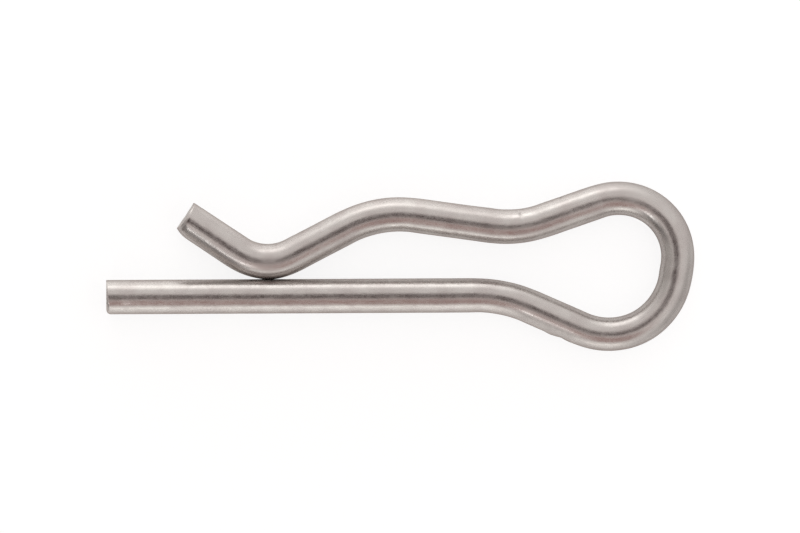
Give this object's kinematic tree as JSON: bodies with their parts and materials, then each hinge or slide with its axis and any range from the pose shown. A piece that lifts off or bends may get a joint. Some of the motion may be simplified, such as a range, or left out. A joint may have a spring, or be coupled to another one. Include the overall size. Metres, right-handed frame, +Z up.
{
  "type": "hitch r clip pin",
  "caption": "Hitch R clip bent from round spring wire: a straight leg, a loop to pull it by and a waved sprung leg that grips a shaft.",
  "frame": {"origin": "middle of the clip's outline, on the surface that it lies on", "axes": "+X along the straight leg from its cut end to the loop, +Y from the straight leg to the sprung leg, +Z up out of the plane of the bends"},
  "size_m": [0.0682, 0.0198, 0.004],
  "materials": {
    "spring_steel": "drawn stainless spring wire, satin to bright, with fine lines along the wire and small tool marks"
  },
  "bodies": {
    "root": {"clip_wire": "spring_steel"}
  },
  "joints": []
}
